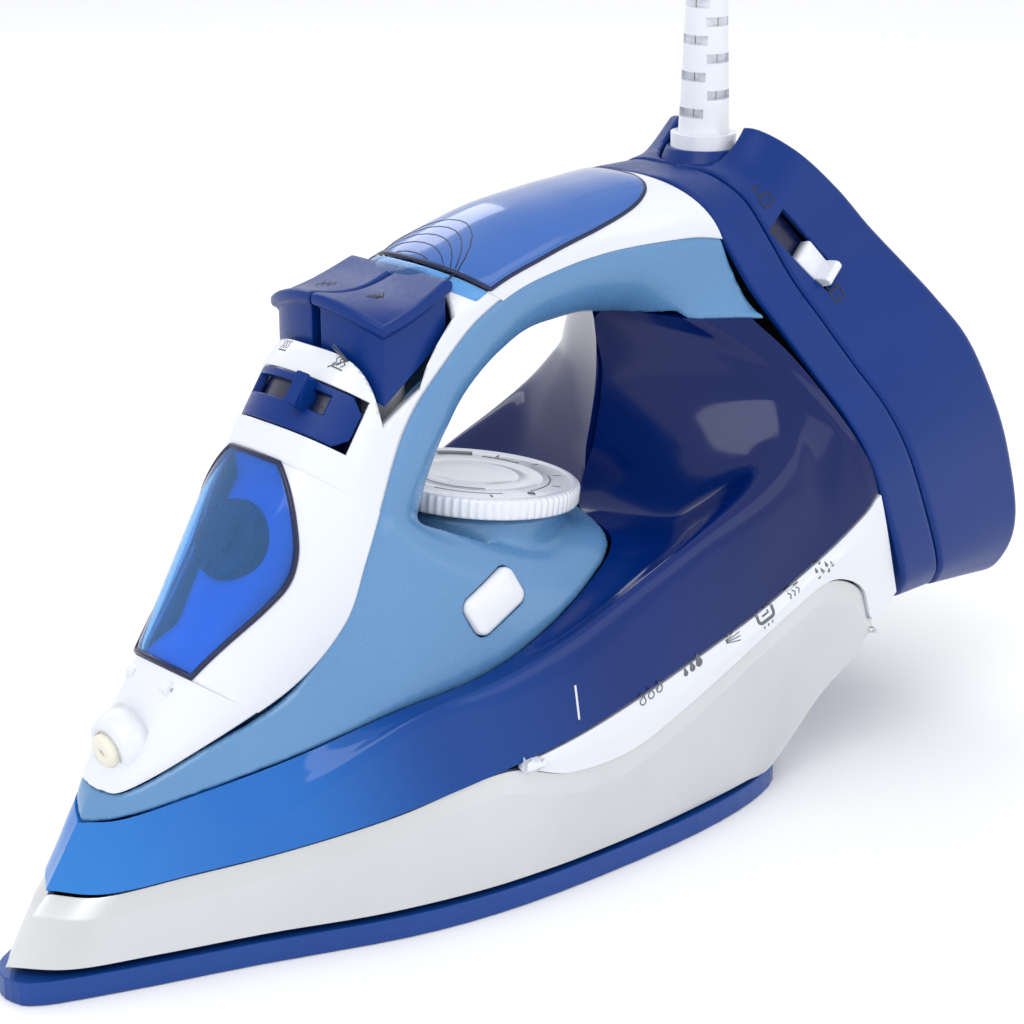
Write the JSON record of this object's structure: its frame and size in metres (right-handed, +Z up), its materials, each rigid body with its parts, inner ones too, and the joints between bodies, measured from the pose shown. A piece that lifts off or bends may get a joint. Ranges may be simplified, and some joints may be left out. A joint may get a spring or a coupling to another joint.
{
  "type": "steam iron",
  "caption": "Steam iron with a water tank, thumb buttons, temperature dial, hinged filler lid and a detachable rear power module on a mains cord.",
  "frame": {"origin": "middle of the base, on the surface that the soleplate stands on", "axes": "+Z up, nose of the soleplate towards -X, the power module and cord towards +X, near flank towards -Y"},
  "size_m": [0.3656, 0.228, 0.2775],
  "materials": {
    "coated_sole": "satin non-stick coating",
    "cast_base": "as cast",
    "heater_steel": "dark oxidised tube",
    "steel": "satin",
    "silver_plastic": "satin silver paint",
    "white_plastic": "glossy moulded",
    "light_blue_plastic": "semi-gloss moulded",
    "navy_plastic": "semi-gloss moulded",
    "tank_blue": "translucent, tinted",
    "lid_blue": "translucent, tinted",
    "grip_blue": "satin, ribbed",
    "dark_plastic": "fine texture",
    "grey_plastic": "moulded",
    "silicone": "soft, matt",
    "black_rubber": "matt",
    "white_cord": "smooth sheath",
    "brass": "plain",
    "wire": "silicone sleeve"
  },
  "bodies": {
    "iron": {"soleplate": "coated_sole", "heating_base": "cast_base", "heating_element": "heater_steel", "steam_chamber_cover": "steel", "heat_skirt": "silver_plastic", "tail_cover": "white_plastic", "rear_band": "white_plastic", "water_tank": "tank_blue", "tank_floor": "tank_blue", "saddle_shell": "light_blue_plastic", "handle_shell": "white_plastic", "grip_insert": "grip_blue", "spray_pump": "grey_plastic", "steam_pump": "grey_plastic", "pump_hoses": "silicone", "lever_bezel": "navy_plastic", "valve_seat": "grey_plastic", "lid_hinge_pin": "steel", "lid_hinge_ears": "white_plastic", "filler_funnel": "grey_plastic", "spray_nozzle": "white_plastic", "spindle_sleeve": "grey_plastic", "thermostat": "brass", "thermal_fuse": "steel", "clean_valve": "grey_plastic", "rear_collar": "navy_plastic", "rear_bulkhead": "dark_plastic", "contact_socket": "dark_plastic", "internal_wires": "wire", "base_screws": "steel"},
    "temperature_dial": {"temperature_dial": "white_plastic"},
    "filler_lid": {"filler_lid": "lid_blue", "lid_plug": "silicone"},
    "spray_button": {"spray_button": "navy_plastic"},
    "steam_button": {"steam_button": "navy_plastic"},
    "steam_lever": {"steam_lever": "navy_plastic"},
    "clean_button": {"clean_button": "white_plastic"},
    "lock_slider": {"lock_slider": "white_plastic"},
    "cord_module": {"module_shell": "navy_plastic", "module_front": "dark_plastic", "module_heel": "navy_plastic", "contact_pins": "brass", "heel_feet": "black_rubber", "heel_screws": "steel", "guard_flange": "navy_plastic", "cord_guard": "white_plastic", "power_cord": "white_cord", "cord_coil": "white_cord", "cord_tie": "black_rubber", "plug_body": "white_cord", "plug_pins": "steel"}
  },
  "joints": [
    {"name": "dial_turn", "type": "hinge", "parent": "iron", "child": "temperature_dial", "pos_m": [-0.0101, 0, 0.0988], "axis": [0.1201, 0, 0.9928], "range_deg": [0, 270]},
    {"name": "lid_hinge", "type": "hinge", "parent": "iron", "child": "filler_lid", "pos_m": [-0.115, 0, 0.0692], "axis": [0, -1, 0], "range_deg": [0, 95]},
    {"name": "spray_press", "type": "slide", "parent": "iron", "child": "spray_button", "axis": [0, 0, -1], "range_m": [0, 0.003], "stiffness_N_per_m": 600, "springref_m": -0.002},
    {"name": "steam_press", "type": "slide", "parent": "iron", "child": "steam_button", "axis": [0, 0, -1], "range_m": [0, 0.003], "stiffness_N_per_m": 600, "springref_m": -0.002},
    {"name": "lever_turn", "type": "hinge", "parent": "iron", "child": "steam_lever", "pos_m": [-0.0542, 0, 0.1194], "axis": [0.5662, 0, 0.8243], "range_deg": [-40, 0]},
    {"name": "clean_press", "type": "slide", "parent": "iron", "child": "clean_button", "axis": [0.0503, 0.9552, -0.2916], "range_m": [0, 0.0025], "stiffness_N_per_m": 500, "springref_m": -0.002},
    {"name": "module_undock", "type": "slide", "parent": "iron", "child": "cord_module", "axis": [1, 0, 0], "range_m": [0, 0.06]},
    {"name": "lock_slide", "type": "slide", "parent": "cord_module", "child": "lock_slider", "axis": [-0.6322, 0.2208, 0.7426], "range_m": [0, 0.011]}
  ]
}
